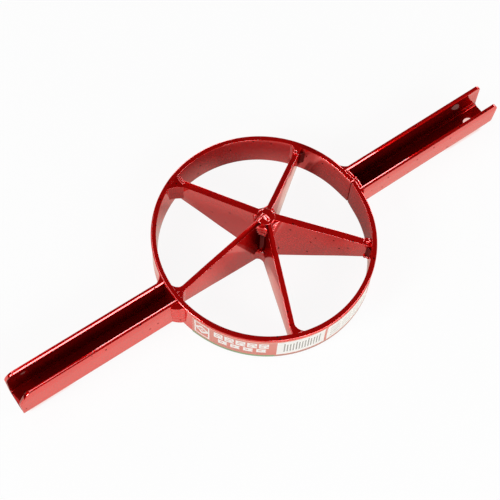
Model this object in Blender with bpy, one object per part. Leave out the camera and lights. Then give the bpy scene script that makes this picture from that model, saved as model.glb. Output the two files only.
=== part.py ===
"""Five-way bamboo splitter: a rolled ring, five wedge blades on a round core, and two channel handles.

The ring's axis is +Z, the ring stands on z = 0, and the handles run along X with the left one at -X.
All pieces are steel, welded together. Lengths are in metres and angles in degrees.
"""
import math

import bmesh
import bpy
from mathutils import Vector

# Ring: flat bar rolled up, a little out of round, with straight ends that meet behind the right handle
RING_RADIUS = 0.083
RING_OUT_OF_ROUND = 0.0011
RING_WALL = 0.004
RING_HEIGHT = 0.030
RING_EDGE_ROUND = 0.0008
SEAM_AZIMUTH = -2.0
SEAM_GAP = 0.0008
SEAM_STRAIGHT_END = 0.012

# Blades: plates whose upper and lower edges run straight from the core to the ring
BLADE_AZIMUTHS = (181.6, 110.3, 35.5, -38.9, -109.7)
BLADE_THICKNESS = 0.004
BLADE_EDGE_BREAK = 0.0004
BLADE_TOP_ON_AXIS = 0.061
BLADE_BOTTOM_ON_AXIS = 0.0
BLADE_RIM_DROP = 0.0035
BLADE_RIM_RISE = 0.010

# Core and the welds around it
CORE_RADIUS = 0.006
CROWN_OVERHANG = 0.0016
CROWN_HEIGHT = 0.0042
HUB_WELD_REACH = 0.011
HUB_UPPER_WELD_HEIGHT = 0.012
HUB_LOWER_WELD_HEIGHT = 0.014
HUB_WELD_INSET = 0.0006

# Fillet welds between the blades and the ring
RIM_WELD_LEG = 0.006
RIM_WELD_INSET = 0.0008
ONE_SIDED_BLADE = 5

# Handles: sheet bent to a channel that is open upwards, flush with the top of the ring
LEFT_HANDLE_AZIMUTH = 179.7
LEFT_HANDLE_REACH = 0.2113
RIGHT_HANDLE_AZIMUTH = 0.4
RIGHT_HANDLE_REACH = 0.2147
HANDLE_WIDTH = 0.021
HANDLE_DEPTH = 0.028
HANDLE_SHEET = 0.0023
HANDLE_BEND_RADIUS = 0.0035
HANDLE_CORNER_ALONG = 0.006
HANDLE_CORNER_DOWN = 0.0072
HANGING_HOLE_RADIUS = 0.005
HANGING_HOLE_FROM_END = 0.014

# Welds between the handles and the ring
ROOT_WELD_LEG = 0.0055
ROOT_WELD_INSET = 0.0007
TOP_WELD_WIDTH = 0.004
TOP_WELD_HEIGHT = 0.005

# Sticker on the front of the ring
LABEL_START = -163.5
LABEL_END = -60.0
LABEL_BASE = 0.0026
LABEL_HEIGHT = 0.025
LABEL_THICKNESS = 0.0002

# Room left between neighbouring pieces
FIT_GAP = 0.0003

# How far a weld's face is drawn towards the corner that it fills, from 0 for flat to 1
FILLET_HOLLOW = 0.65

# Facets
RING_STEPS = 120
LABEL_STEPS = 36
ROUND_STEPS = 24
CROWN_STEPS = 5
BEND_STEPS = 4
FILLET_STEPS = 4
WALL_STEPS = 2
CORE_ARC_STEPS = 3
ROOT_SAMPLES = 10
SMOOTH_ANGLE = 30.0

# Paint and paper
RED_ENAMEL = (0.36, 0.006, 0.006, 1.0)
ENAMEL_ROUGHNESS = 0.25
LABEL_PAPER = (0.62, 0.16, 0.13, 1.0)
PAPER_ROUGHNESS = 0.45


def clear_scene():
    """Empty the scene of the objects that Blender starts with."""
    for thing in list(bpy.data.objects):
        bpy.data.objects.remove(thing, do_unlink=True)


def make_material(name, colour, roughness):
    """Plain Principled material."""
    material = bpy.data.materials.new(name)
    material.use_nodes = True
    shader = material.node_tree.nodes["Principled BSDF"]
    shader.inputs["Base Color"].default_value = colour
    shader.inputs["Roughness"].default_value = roughness
    shader.inputs["Metallic"].default_value = 0.0
    return material


def add_object(name, shape, material, parent, turn=0.0):
    """Turn a bmesh into a named object, rotated about the ring's axis by a number of degrees."""
    bmesh.ops.recalc_face_normals(shape, faces=shape.faces)
    mesh = bpy.data.meshes.new(name)
    shape.to_mesh(mesh)
    shape.free()
    mesh.materials.append(material)
    thing = bpy.data.objects.new(name, mesh)
    thing.rotation_euler = (0.0, 0.0, math.radians(turn))
    thing.parent = parent
    bpy.context.scene.collection.objects.link(thing)
    return thing


def add_cutter(name, shape, target):
    """Hidden solid that is cut out of a target, in the target's own frame."""
    cutter = add_object(name, shape, target.data.materials[0], target)
    cutter.hide_render = True
    cutter.display_type = "WIRE"
    cut = target.modifiers.new(name, "BOOLEAN")
    cut.operation = "DIFFERENCE"
    cut.object = cutter


def loft(sections):
    """Skin a list of equal-length point loops and close both ends."""
    shape = bmesh.new()
    loops = [[shape.verts.new(point) for point in section] for section in sections]
    for first, second in zip(loops, loops[1:]):
        for index in range(len(first)):
            after = (index + 1) % len(first)
            shape.faces.new((first[index], first[after], second[after], second[index]))
    shape.faces.new(list(reversed(loops[0])))
    shape.faces.new(loops[-1])
    return shape


def round_section(radius, height, centre=0.0):
    """Loop of points round a circle at one height, about a point on the X axis."""
    section = []
    for step in range(ROUND_STEPS):
        point = polar(radius, 360.0 * step / ROUND_STEPS)
        section.append((centre + point.x, point.y, height))
    return section


def prism(outline, low, high, inset):
    """Upright solid on a plan outline, drawn in towards its middle at both ends like the ends of a bead."""
    middle = sum(outline, Vector((0.0, 0.0))) / len(outline)
    levels = ((low, inset), (low + inset, 0.0), (high - inset, 0.0), (high, inset))
    sections = []
    for height, pull in levels:
        section = []
        for point in outline:
            toward = middle - point
            moved = point + toward.normalized() * min(pull, toward.length / 2)
            section.append((moved.x, moved.y, height))
        sections.append(section)
    return loft(sections)


def fillet_curve(start, corner, end):
    """Points of a hollow fillet face from start to end, curved towards the corner that it fills."""
    points = []
    pull = ((start + end) / 2).lerp(corner, FILLET_HOLLOW)
    for step in range(1, FILLET_STEPS):
        t = step / FILLET_STEPS
        points.append(start * (1 - t) ** 2 + pull * (2 * t * (1 - t)) + end * t ** 2)
    return points


def ring_radius(azimuth, depth=0.0):
    """Distance from the axis to the ring's outside, or to a surface this deep below it."""
    around = math.radians(azimuth)
    rolled = RING_RADIUS - RING_OUT_OF_ROUND * math.cos(2 * around) - depth
    from_seam = abs((azimuth - SEAM_AZIMUTH + 180.0) % 360.0 - 180.0)
    straight = SEAM_STRAIGHT_END / RING_RADIUS - math.radians(from_seam)
    return rolled / math.cos(max(0.0, straight))


def polar(radius, azimuth):
    """Plan point at a distance and direction from the axis."""
    around = math.radians(azimuth)
    return Vector((radius * math.cos(around), radius * math.sin(around)))


def blade_top(radius, reach):
    """Height of a blade's upper edge at a distance from the axis, for a blade that reaches this far."""
    at_rim = RING_HEIGHT - BLADE_RIM_DROP
    return BLADE_TOP_ON_AXIS + (at_rim - BLADE_TOP_ON_AXIS) * radius / reach


def blade_bottom(radius, reach):
    """Height of a blade's lower edge at a distance from the axis, for a blade that reaches this far."""
    return BLADE_BOTTOM_ON_AXIS + (BLADE_RIM_RISE - BLADE_BOTTOM_ON_AXIS) * radius / reach


def blade_reach(azimuth):
    """Distance from the axis to the outer end of a blade."""
    return ring_radius(azimuth, RING_WALL) - FIT_GAP


def make_ring(material, parent):
    """Rolled bar with broken edges, open by the seam's gap."""
    half_gap = math.degrees(SEAM_GAP / 2 / RING_RADIUS)
    sweep = 360.0 - 2 * half_gap
    edge = RING_EDGE_ROUND
    profile = (
        (0.0, edge), (0.0, RING_HEIGHT - edge),
        (edge, RING_HEIGHT), (RING_WALL - edge, RING_HEIGHT),
        (RING_WALL, RING_HEIGHT - edge), (RING_WALL, edge),
        (RING_WALL - edge, 0.0), (edge, 0.0),
    )
    sections = []
    for step in range(RING_STEPS + 1):
        azimuth = SEAM_AZIMUTH + half_gap + sweep * step / RING_STEPS
        section = []
        for depth, height in profile:
            point = polar(ring_radius(azimuth, depth), azimuth)
            section.append((point.x, point.y, height))
        sections.append(section)
    return add_object("ring", loft(sections), material, parent)


def make_blade(number, azimuth, material, parent):
    """One wedge plate, drawn along local X and turned to its place."""
    inner = CORE_RADIUS + FIT_GAP
    outer = blade_reach(azimuth)
    half = BLADE_THICKNESS / 2
    corners = (
        (inner, blade_bottom(inner, outer)), (outer, blade_bottom(outer, outer)),
        (outer, blade_top(outer, outer)), (inner, blade_top(inner, outer)),
    )
    sections = [[(along, side, height) for along, height in corners] for side in (-half, half)]
    shape = loft(sections)
    bmesh.ops.bevel(
        shape, geom=list(shape.edges), offset=BLADE_EDGE_BREAK, segments=1, affect="EDGES"
    )
    return add_object("blade_%d" % number, shape, material, parent, azimuth)


def make_core(material, parent):
    """Round bar on the axis, as tall as the blades' inner ends."""
    top = blade_top(CORE_RADIUS, RING_RADIUS - RING_WALL)
    sections = [round_section(CORE_RADIUS, height) for height in (BLADE_BOTTOM_ON_AXIS, top)]
    add_object("hub_core", loft(sections), material, parent)
    return top


def make_crown(core_top, material, parent):
    """Domed weld that closes the top of the core and laps over the blades' inner corners."""
    radius = CORE_RADIUS + CROWN_OVERHANG
    base = core_top + FIT_GAP
    sections = []
    for step in range(CROWN_STEPS):
        lift = math.radians(90.0 * step / CROWN_STEPS)
        sections.append(round_section(radius * math.cos(lift), base + CROWN_HEIGHT * math.sin(lift)))
    add_object("crown_weld", loft(sections), material, parent)


def hub_weld_outline(spread):
    """Plan of a weld in the corner between a blade along +X and the next one, spread degrees on."""
    face = BLADE_THICKNESS / 2 + FIT_GAP
    core = CORE_RADIUS + FIT_GAP
    near_core = math.degrees(math.asin(face / core))
    far_out = math.degrees(math.asin(face / HUB_WELD_REACH))
    start = polar(HUB_WELD_REACH, far_out)
    end = polar(HUB_WELD_REACH, spread - far_out)
    middle = polar(core, spread / 2)
    outline = [polar(core, near_core), start]
    outline += fillet_curve(start, middle, end)
    outline += [end, polar(core, spread - near_core)]
    arc = spread - 2 * near_core
    for step in range(CORE_ARC_STEPS - 1, 0, -1):
        outline.append(polar(core, near_core + arc * step / CORE_ARC_STEPS))
    return outline


def make_hub_welds(material, parent):
    """Upper and lower fillets in each corner between two blades."""
    for number, azimuth in enumerate(BLADE_AZIMUTHS):
        before = BLADE_AZIMUTHS[number - 1]
        spread = (before - azimuth) % 360.0
        outline = hub_weld_outline(spread)
        reach = min(blade_reach(azimuth), blade_reach(before))
        top = blade_top(HUB_WELD_REACH, reach)
        upper = prism(outline, top - HUB_UPPER_WELD_HEIGHT, top, HUB_WELD_INSET)
        add_object("hub_upper_weld_%d" % (number + 1), upper, material, parent, azimuth)
        base = blade_bottom(HUB_WELD_REACH, reach)
        lower = prism(outline, base, base + HUB_LOWER_WELD_HEIGHT, HUB_WELD_INSET)
        add_object("hub_lower_weld_%d" % (number + 1), lower, material, parent, azimuth)


def rim_weld_outline(azimuth, side):
    """Plan of a fillet between the ring and one face of a blade that lies along local X."""
    face = BLADE_THICKNESS / 2 + FIT_GAP
    depth = RING_WALL + FIT_GAP
    wall = []
    for step in range(WALL_STEPS + 1):
        across = face + RIM_WELD_LEG * step / WALL_STEPS
        aside = side * math.degrees(math.asin(across / RING_RADIUS))
        wall.append(polar(ring_radius(azimuth + aside, depth), aside))
    corner = Vector((wall[0].x, side * face))
    end = Vector((corner.x - RIM_WELD_LEG, side * face))
    return [corner] + wall[1:] + fillet_curve(wall[-1], corner, end) + [end]


def make_rim_welds(number, azimuth, material, parent):
    """Fillets on both faces of a blade's outer end, or on one face of the blade that shows only one."""
    low = BLADE_RIM_RISE
    high = RING_HEIGHT - BLADE_RIM_DROP
    sides = {"left": 1, "right": -1}
    if number == ONE_SIDED_BLADE:
        del sides["right"]
    for word, side in sides.items():
        shape = prism(rim_weld_outline(azimuth, side), low, high, RIM_WELD_INSET)
        name = "blade_%d_rim_weld_%s" % (number, word)
        add_object(name, shape, material, parent, azimuth)


def handle_root(azimuth):
    """Distance from the axis to a handle's inner end, just clear of the ring over the handle's width."""
    half_angle = math.degrees(math.asin(HANDLE_WIDTH / 2 / RING_RADIUS))
    reaches = []
    for step in range(-ROOT_SAMPLES, ROOT_SAMPLES + 1):
        aside = half_angle * step / ROOT_SAMPLES
        reaches.append(ring_radius(azimuth + aside) * math.cos(math.radians(aside)))
    return max(reaches) + FIT_GAP


def channel_profile():
    """Section of the channel across Y and Z: down the outside, round the bends, and back up inside."""
    half = HANDLE_WIDTH / 2
    top = RING_HEIGHT
    bottom = RING_HEIGHT - HANDLE_DEPTH
    inside = half - HANDLE_SHEET
    inner_radius = HANDLE_BEND_RADIUS - HANDLE_SHEET
    centre = (half - HANDLE_BEND_RADIUS, bottom + HANDLE_BEND_RADIUS)

    def bend(radius, flip):
        points = []
        for step in range(BEND_STEPS + 1):
            angle = math.radians(90.0 * step / BEND_STEPS)
            across = centre[0] + radius * math.sin(angle)
            points.append((flip * across, centre[1] - radius * math.cos(angle)))
        return points

    outer = [(-half, top)] + bend(HANDLE_BEND_RADIUS, -1)[::-1] + bend(HANDLE_BEND_RADIUS, 1) + [(half, top)]
    inner = [(inside, top)] + bend(inner_radius, 1)[::-1] + bend(inner_radius, -1) + [(-inside, top)]
    return outer + inner


def make_handle(side, azimuth, end, material, parent):
    """One channel along local X, with its outer top corners cut off and a hole to hang it by."""
    start = handle_root(azimuth)
    profile = channel_profile()
    sections = [[(along, across, height) for across, height in profile] for along in (start, end)]
    handle = add_object(side + "_handle", loft(sections), material, parent, azimuth)

    # Wedge that takes the two top corners off, wider and taller than the channel
    over = HANDLE_SHEET
    slope = HANDLE_CORNER_DOWN / HANDLE_CORNER_ALONG
    wedge = (
        (end - HANDLE_CORNER_ALONG - over / slope, RING_HEIGHT + over),
        (end + over, RING_HEIGHT - HANDLE_CORNER_DOWN - over * slope),
        (end + over, RING_HEIGHT + over),
    )
    across = HANDLE_WIDTH / 2 + over
    walls = [[(along, place, height) for along, height in wedge] for place in (-across, across)]
    add_cutter(side + "_corner_cutter", loft(walls), handle)

    # Drill for the hanging hole, which stops just past the web
    bottom = RING_HEIGHT - HANDLE_DEPTH
    hole_at = end - HANGING_HOLE_FROM_END
    depths = (bottom - over, bottom + HANDLE_SHEET + over)
    rounds = [round_section(HANGING_HOLE_RADIUS, height, hole_at) for height in depths]
    add_cutter(side + "_hole_cutter", loft(rounds), handle)


def root_weld_outline(azimuth, flank):
    """Plan of a fillet between the ring's outside and one wall of a handle that lies along local X."""
    face = HANDLE_WIDTH / 2 + FIT_GAP
    wall = []
    for step in range(WALL_STEPS + 1):
        across = face + ROOT_WELD_LEG * step / WALL_STEPS
        aside = flank * math.degrees(math.asin(across / RING_RADIUS))
        wall.append(polar(ring_radius(azimuth + aside) + FIT_GAP, aside))
    corner = Vector((wall[0].x, flank * face))
    end = Vector((handle_root(azimuth) + ROOT_WELD_LEG, flank * face))
    return [corner] + wall[1:] + fillet_curve(wall[-1], corner, end) + [end]


def make_root_welds(side, azimuth, flanks, material, parent):
    """Upright fillets on the two outer walls of a handle."""
    low = RING_HEIGHT - HANDLE_DEPTH
    for word, flank in flanks.items():
        shape = prism(root_weld_outline(azimuth, flank), low, RING_HEIGHT - ROOT_WELD_INSET, ROOT_WELD_INSET)
        add_object("%s_handle_%s_weld" % (side, word), shape, material, parent, azimuth)


def make_top_weld(azimuth, material, parent):
    """Bead along the ring's upper edge, between the walls of a handle that lies along local X."""
    inside = HANDLE_WIDTH / 2 - HANDLE_SHEET - FIT_GAP
    wall = []
    for step in range(-WALL_STEPS, WALL_STEPS + 1):
        aside = math.degrees(math.asin(inside * step / WALL_STEPS / RING_RADIUS))
        wall.append(polar(ring_radius(azimuth + aside) + FIT_GAP, aside))
    outer = max(point.x for point in wall) + TOP_WELD_WIDTH
    outline = wall + [Vector((outer, inside)), Vector((outer, -inside))]
    low = RING_HEIGHT - TOP_WELD_HEIGHT
    shape = prism(outline, low, RING_HEIGHT - ROOT_WELD_INSET, ROOT_WELD_INSET)
    add_object("right_handle_top_weld", shape, material, parent, azimuth)


def make_label(material, parent):
    """Thin strip that follows the outside of the ring."""
    high = LABEL_BASE + LABEL_HEIGHT
    sections = []
    for step in range(LABEL_STEPS + 1):
        azimuth = LABEL_START + (LABEL_END - LABEL_START) * step / LABEL_STEPS
        inner = polar(ring_radius(azimuth) + FIT_GAP, azimuth)
        outer = polar(ring_radius(azimuth) + FIT_GAP + LABEL_THICKNESS, azimuth)
        sections.append([
            (inner.x, inner.y, LABEL_BASE), (outer.x, outer.y, LABEL_BASE),
            (outer.x, outer.y, high), (inner.x, inner.y, high),
        ])
    add_object("label", loft(sections), material, parent)


def main():
    """Build the whole splitter under one empty on the ring's axis."""
    clear_scene()
    enamel = make_material("red_enamel", RED_ENAMEL, ENAMEL_ROUGHNESS)
    paper = make_material("label_paper", LABEL_PAPER, PAPER_ROUGHNESS)
    splitter = bpy.data.objects.new("splitter", None)
    bpy.context.scene.collection.objects.link(splitter)

    ring = make_ring(enamel, splitter)
    ring.data.shade_smooth()
    ring.data.set_sharp_from_angle(angle=math.radians(SMOOTH_ANGLE))
    for number, azimuth in enumerate(BLADE_AZIMUTHS, start=1):
        make_blade(number, azimuth, enamel, splitter)
        make_rim_welds(number, azimuth, enamel, splitter)
    core_top = make_core(enamel, splitter)
    make_crown(core_top, enamel, splitter)
    make_hub_welds(enamel, splitter)
    make_handle("left", LEFT_HANDLE_AZIMUTH, LEFT_HANDLE_REACH, enamel, splitter)
    make_handle("right", RIGHT_HANDLE_AZIMUTH, RIGHT_HANDLE_REACH, enamel, splitter)
    make_root_welds("left", LEFT_HANDLE_AZIMUTH, {"near": 1, "far": -1}, enamel, splitter)
    make_root_welds("right", RIGHT_HANDLE_AZIMUTH, {"near": -1, "far": 1}, enamel, splitter)
    make_top_weld(RIGHT_HANDLE_AZIMUTH, enamel, splitter)
    make_label(paper, splitter)


main()
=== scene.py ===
"""Looks of the five-way bamboo splitter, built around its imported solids.

Every solid is stood for by a finer mesh: a rolled ring, plate blades, folded channel handles, weld beads
with ripples, and a sticker with a generic print. Lengths are in metres and angles in degrees. The ring's
axis is +Z, the ring stands on z = 0, and the handles run along X.
"""
from math import asin, atan2, cos, degrees, pi, radians, sin, tan

import bmesh
import bpy
from mathutils import Matrix, Vector, noise


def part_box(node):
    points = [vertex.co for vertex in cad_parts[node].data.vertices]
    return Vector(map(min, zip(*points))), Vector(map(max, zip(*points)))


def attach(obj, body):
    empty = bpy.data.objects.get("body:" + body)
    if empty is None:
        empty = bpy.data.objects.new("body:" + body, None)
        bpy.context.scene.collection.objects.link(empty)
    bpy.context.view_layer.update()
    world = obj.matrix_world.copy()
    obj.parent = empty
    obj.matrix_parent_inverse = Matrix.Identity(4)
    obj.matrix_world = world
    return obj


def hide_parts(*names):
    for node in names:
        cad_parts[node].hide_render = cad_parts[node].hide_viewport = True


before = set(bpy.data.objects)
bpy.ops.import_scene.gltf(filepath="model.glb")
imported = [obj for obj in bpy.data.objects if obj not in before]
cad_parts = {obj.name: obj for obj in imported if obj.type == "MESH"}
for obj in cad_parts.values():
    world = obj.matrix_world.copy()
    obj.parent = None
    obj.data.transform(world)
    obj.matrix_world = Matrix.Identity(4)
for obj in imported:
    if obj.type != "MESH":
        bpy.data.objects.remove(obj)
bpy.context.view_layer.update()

# Camera: the photograph's viewpoint
CAMERA_PLACE = (-0.24934, -0.29710, 0.81222)
CAMERA_AIM = (-0.00687, 0.00666, 0.0)
CAMERA_ROLL = 3.976
CAMERA_LENS = 86.18
CAMERA_SENSOR = 36.0
CAMERA_CLIP = 0.05

# Studio boxes as (name, azimuth, elevation, size, power), all at one distance from the object
BOX_DISTANCE = 1.6
STUDIO_BOXES = (
    ("front_box", -80.0, 12.0, (1.0, 0.48), 9.0),
    ("key_box", -105.0, 32.0, (0.75, 0.6), 7.8),
    ("right_front_box", -45.0, 32.0, (0.75, 0.6), 6.2),
    ("left_box", 176.0, 32.0, (0.5, 0.6), 13.5),
    ("right_box", 15.0, 10.0, (0.75, 0.48), 9.0),
    ("rim_box", 75.0, 10.0, (0.75, 0.48), 5.9),
    ("high_box", 116.0, 58.0, (0.75, 0.6), 3.1),
)
WORLD_STRENGTH = 0.014

# Floor: matt grey for the light and matt white for the camera, which sees mostly plain white
FLOOR_SIZE = 6.0
FLOOR_DROP = 0.0002
FLOOR_GREY = (0.32, 0.32, 0.32, 1.0)
FLOOR_WHITE = (0.95, 0.95, 0.95, 1.0)
FLOOR_PLAIN_SHARE = 0.92
PLAIN_WHITE = (1.0, 1.0, 1.0, 1.0)
# Warm white that only reflections show, a painted tint of the mirrored floor
WARM_WHITE = (1.0, 0.97, 0.85, 1.0)
RED_BOUNCE_LIGHT = (0.97, 0.62, 0.57, 1.0)

# How bright the lacquer mirrors the floor, as painted shade that only reflections show, in spans of a
# distance and
# the levels at their two ends: from the axis, along X or along Y
OUTSIDE_RING = ((0.080, 0.086), (0.0, 1.0))
INSIDE_RING_X = ((0.028, 0.050), (0.36, 0.76))
UNDER_HANDLE_Y = ((0.0085, 0.0115), (0.30, 1.0))
PAST_HANDLE_X = ((0.208, 0.214), (0.0, 1.0))

# Painted red bounce light on the floor under the handles' ends, in the same form
BOUNCE_LIGHT_Y = ((0.0075, 0.0100), (1.0, 0.0))
BOUNCE_LIGHT_START_X = ((0.168, 0.176), (0.0, 1.0))
BOUNCE_LIGHT_END_X = ((0.204, 0.208), (1.0, 0.0))

# Sectors of painted light and shade on the floor inside the ring, seen only in reflections: first azimuth,
# last azimuth and soft edge, then spans of the distance from the axis with the levels at their ends. The
# levels of one sector add up.
EVERYWHERE = (0.0, 1.0)
BY_RIGHT_HANDLE = ((0.056, 0.062), (1.0, 0.28))
FLOOR_SECTORS = (
    ((-34.0, 27.4, 1.6), (BY_RIGHT_HANDLE,)),
    ((34.6, 40.0, 1.4), (BY_RIGHT_HANDLE,)),
    ((29.2, 33.0, 1.6), ((EVERYWHERE, (1.75, 1.75)),)),
    ((28.8, 30.4, 1.0), (((0.066, 0.071), (1.0, 0.26)),)),
    ((41.0, 106.0, 3.0), (((0.052, 0.060), (1.0, 0.14)), ((0.067, 0.078), (0.0, 0.38)))),
    ((88.0, 106.0, 12.0), (((0.060, 0.068), (1.0, 2.6)),)),
    ((118.0, 172.0, 4.0), ((EVERYWHERE, (0.86, 0.86)),)),
    ((-128.0, -108.0, 4.0), (((0.011, 0.022), (1.0, 2.2)),)),
    ((-78.0, -40.0, 4.0), (((0.046, 0.060), (1.0, 0.62)),)),
)

# Ring: flat bar rolled up, with its radius and height read from the solid
RING_LOW, RING_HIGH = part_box("ring")
RING_RADIUS = (RING_HIGH.y - RING_LOW.x) / 2
RING_OUT_OF_ROUND = (RING_HIGH.y + RING_LOW.x) / 2
RING_REACH_X = RING_RADIUS - RING_OUT_OF_ROUND
RING_HEIGHT = RING_HIGH.z
RING_WALL = 0.004
RING_BOW = 0.0004
RING_INNER_ROUND = 0.0004
RING_OUTER_ROUND = 0.0011
RING_STEPS = 360
RING_SPACING = 0.0025
RING_ARC_STEPS = 6
SEAM_AZIMUTH = -1.0
SEAM_GAP = 0.0009
SEAM_STRAIGHT_END = 0.012
SEAM_END_ROUND = 0.0003

# Blades: wedge plates from the core to the ring
BLADE_COUNT = 5
BLADE_THICKNESS = 0.004
BLADE_EDGE_ROUND = 0.0002
BLADE_TOP_ON_AXIS = 0.061
BLADE_BOTTOM_ON_AXIS = 0.0
BLADE_TOP_AT_RIM = 0.0265
BLADE_BOTTOM_AT_RIM = 0.010
BLADE_SINK = 0.0015
BLADE_STEPS = 70
BLADE_ARC_STEPS = 5
BLADE_SWAY = 0.00025
BLADE_SWAY_RATE = 40.0
BLADE_SWAY_SEED = 7.3
# Extra thickness of some plates on their counter-clockwise and clockwise side
BLADE_EXTRA = {2: (0.0007, 0.0007), 4: (0.0014, 0.0)}

# Handles: sheet bent to a channel that is open upwards
HANDLE_DEPTH = 0.028
HANDLE_SHEET = 0.0028
HANDLE_BOTTOM = RING_HEIGHT - HANDLE_DEPTH
HANDLE_BEND_RADIUS = 0.0050
HANDLE_EDGE_ROUND = 0.0002
HANDLE_OUTER_ROUND = 0.00005
HANDLE_LEAN_SLOPE = 0.127
HANDLE_LEAN_STRAIGHT = 0.003
HANDLE_LEAN_FADE = 0.005
HANDLE_ROOT_SINK = 0.0006
HANDLE_STEPS = 60
BEVEL_STEPS = 7
WALL_STEPS = 26
WALL_CROWDING = 1.5
BEND_STEPS = 10
WEB_STEPS = 3
CREST_GAP = 0.0001
SOFT_SHARE = 0.3

# Walls of each handle, first the one on its counter-clockwise side:
# half width at the foot, outward tilt, and the bevel along the inner edge as (across, down)
NEAR_BEVEL = (0.0010, 0.0006)
FAR_BEVEL = (0.0010, 0.0011)
HANDLE_WALLS = {
    "left": ((0.0116, -2.0, NEAR_BEVEL), (0.0109, 1.4, FAR_BEVEL)),
    "right": ((0.0107, 1.6, FAR_BEVEL), (0.01135, 2.2, NEAR_BEVEL)),
}
# Cut corners as (along, down), with the power of their rounded outline
HANDLE_FAR_CORNERS = {"left": (0.0062, 0.0074), "right": (0.0034, 0.0042)}
HANDLE_NEAR_CORNERS = {"left": (0.0096, 0.0112), "right": (0.0034, 0.0042)}
HANDLE_CORNER_POWER = 1.45
HANDLE_END_ROUND = 0.0004
HANDLE_END_STEPS = 3
HANDLE_UNDERCUT = 0.0009

# Hanging holes, with the outline of their soft rim as shares of its size (out, into the sheet)
HOLE_RADIUS = 0.005
HOLE_FROM_END = 0.0144
HOLE_ASIDE = {"left": 0.0036, "right": -0.0020}
HOLE_SOFT = 0.0004
HOLE_RIM = ((2.0, -1.0), (1.0, 0.0), (0.3, 0.3), (0.0, 1.0))
HOLE_SIDES = 48

# Core of the hub, and the ridge on the weld that closes it
CORE_RADIUS = 0.006
CORE_BREAK = 0.0008
CORE_SIDES = 64
CROWN_RADIUS = 0.0066
CROWN_EDGE = 0.0583
CROWN_TOP = 0.0600
CROWN_SKIRT = ((0.0012, 0.0024), (0.0002, 0.0010))
CROWN_STEPS = 8
CROWN_SIDES = 40
CROWN_RIDGE = ((-0.0052, 0.0011), (-0.0010, 0.0015), (-0.0004, -0.0032))
CROWN_RIDGE_RADIUS = 0.0011
CROWN_RIDGE_SINK = 0.0002

# Sticker
LABEL_START = -163.5
LABEL_END = -60.0
LABEL_BASE = 0.0026
LABEL_HEIGHT = 0.025
LABEL_HEM = 0.0019
LABEL_THICKNESS = 0.00025
LABEL_STEPS = 120
LABEL_ROWS = 12

# Inks of the sticker, and its print's size in the units of the layout
PAPER = (0.98, 0.96, 0.94, 1.0)
SALMON = (0.72, 0.085, 0.055, 1.0)
PALE_SALMON = (0.80, 0.33, 0.25, 1.0)
DARK_GREY = (0.20, 0.18, 0.17, 1.0)
PALE_GREY = (0.50, 0.46, 0.43, 1.0)
GREEN = (0.13, 0.26, 0.08, 1.0)
BROWN = (0.42, 0.13, 0.09, 1.0)
PINK = (0.92, 0.42, 0.32, 1.0)
PRINT_WIDTH = 150.0
PRINT_HEIGHT = 25.0
RULED_LINES = ((4.0, 5.26), (8.2, 9.46), (12.4, 13.66), (16.6, 17.86), (20.8, 21.0))
# Panels of the print from the lowest layer up: ink, left, right, low and high, and for a row of blocks
# the step, the inked share and the start
PRINT_PANELS = (
    (PAPER, 2.0, 15.0, 2.5, 23.0),
    (SALMON, 3.2, 13.8, 4.0, 21.5),
    (PAPER, 18.5, 60.5, 12.8, 21.4, 8.4, 0.84, 18.5),
    (SALMON, 18.5, 60.5, 15.2, 16.3, 4.2, 0.55, 19.6),
    (SALMON, 18.5, 60.5, 18.4, 19.4, 8.4, 0.50, 20.2),
    (PAPER, 22.0, 60.0, 5.4, 11.2, 9.5, 0.72, 22.0),
    (SALMON, 22.0, 60.0, 7.8, 8.9, 4.75, 0.5, 23.4),
    (BROWN, 18.0, 58.0, 2.6, 4.2, 2.3, 0.55, 0.0),
    (PAPER, 65.0, 101.0, 1.2, 23.8),
    (DARK_GREY, 70.0, 97.0, 5.0, 18.0, 2.2, 0.36, 70.0),
    (DARK_GREY, 70.0, 97.5, 5.0, 20.0, 8.8, 0.10, 70.0),
    (PAPER, 103.0, 149.0, 1.2, 23.8),
    *((PALE_GREY, 106.0, 146.0, low, high, 11.0, 0.86, 106.0) for low, high in RULED_LINES),
    (GREEN, -1.0, 64.0, -3.0, 0.7),
    (BROWN, 64.0, 151.0, -3.0, 0.3),
    (PINK, -1.0, 151.0, 24.3, 26.0),
)
# Nested diamonds in the first frame: ink and half size, about one middle
PRINT_DIAMONDS = ((PAPER, 6.6), (SALMON, 3.4), (PAPER, 1.5))
DIAMOND_ACROSS = 8.5
DIAMOND_UP = 12.8
LABEL_CLOUD_SCALE = 120.0
LABEL_FADE = ((0.3, 0.8), (0.0, 0.25))
LABEL_ROUGHNESS = (0.28, 0.42)
LABEL_COAT = 0.45
LABEL_COAT_ROUGHNESS = 0.10

# Welds: how deep their hidden side reaches into the plates, and the grain of the fused skin
WELD_SINK = 0.0008
WELD_SEAT = 0.0002
WEB_HEART = 0.001
WEB_HIDDEN_SHARE = 0.85
WELD_VOXEL = 0.00026
WELD_CALM = 0.5
WELD_DRIFT = 0.00004
CROWN_DRIFT = 0.00003
DRIFT_RATE = 260.0
RIPPLE_STEP = 0.0048
RIPPLE_SWAY = 0.0008
FILLET_ROWS = 40
FILLET_ACROSS = 12
FILLET_DRIFT_RATE = 220.0
FILLET_TAPER_POWER = 5
WEB_ACROSS = 14

# Side of a blade by the word in a weld's name: 1 is counter-clockwise
BLADE_SIDES = {"left": 1, "right": -1}

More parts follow.
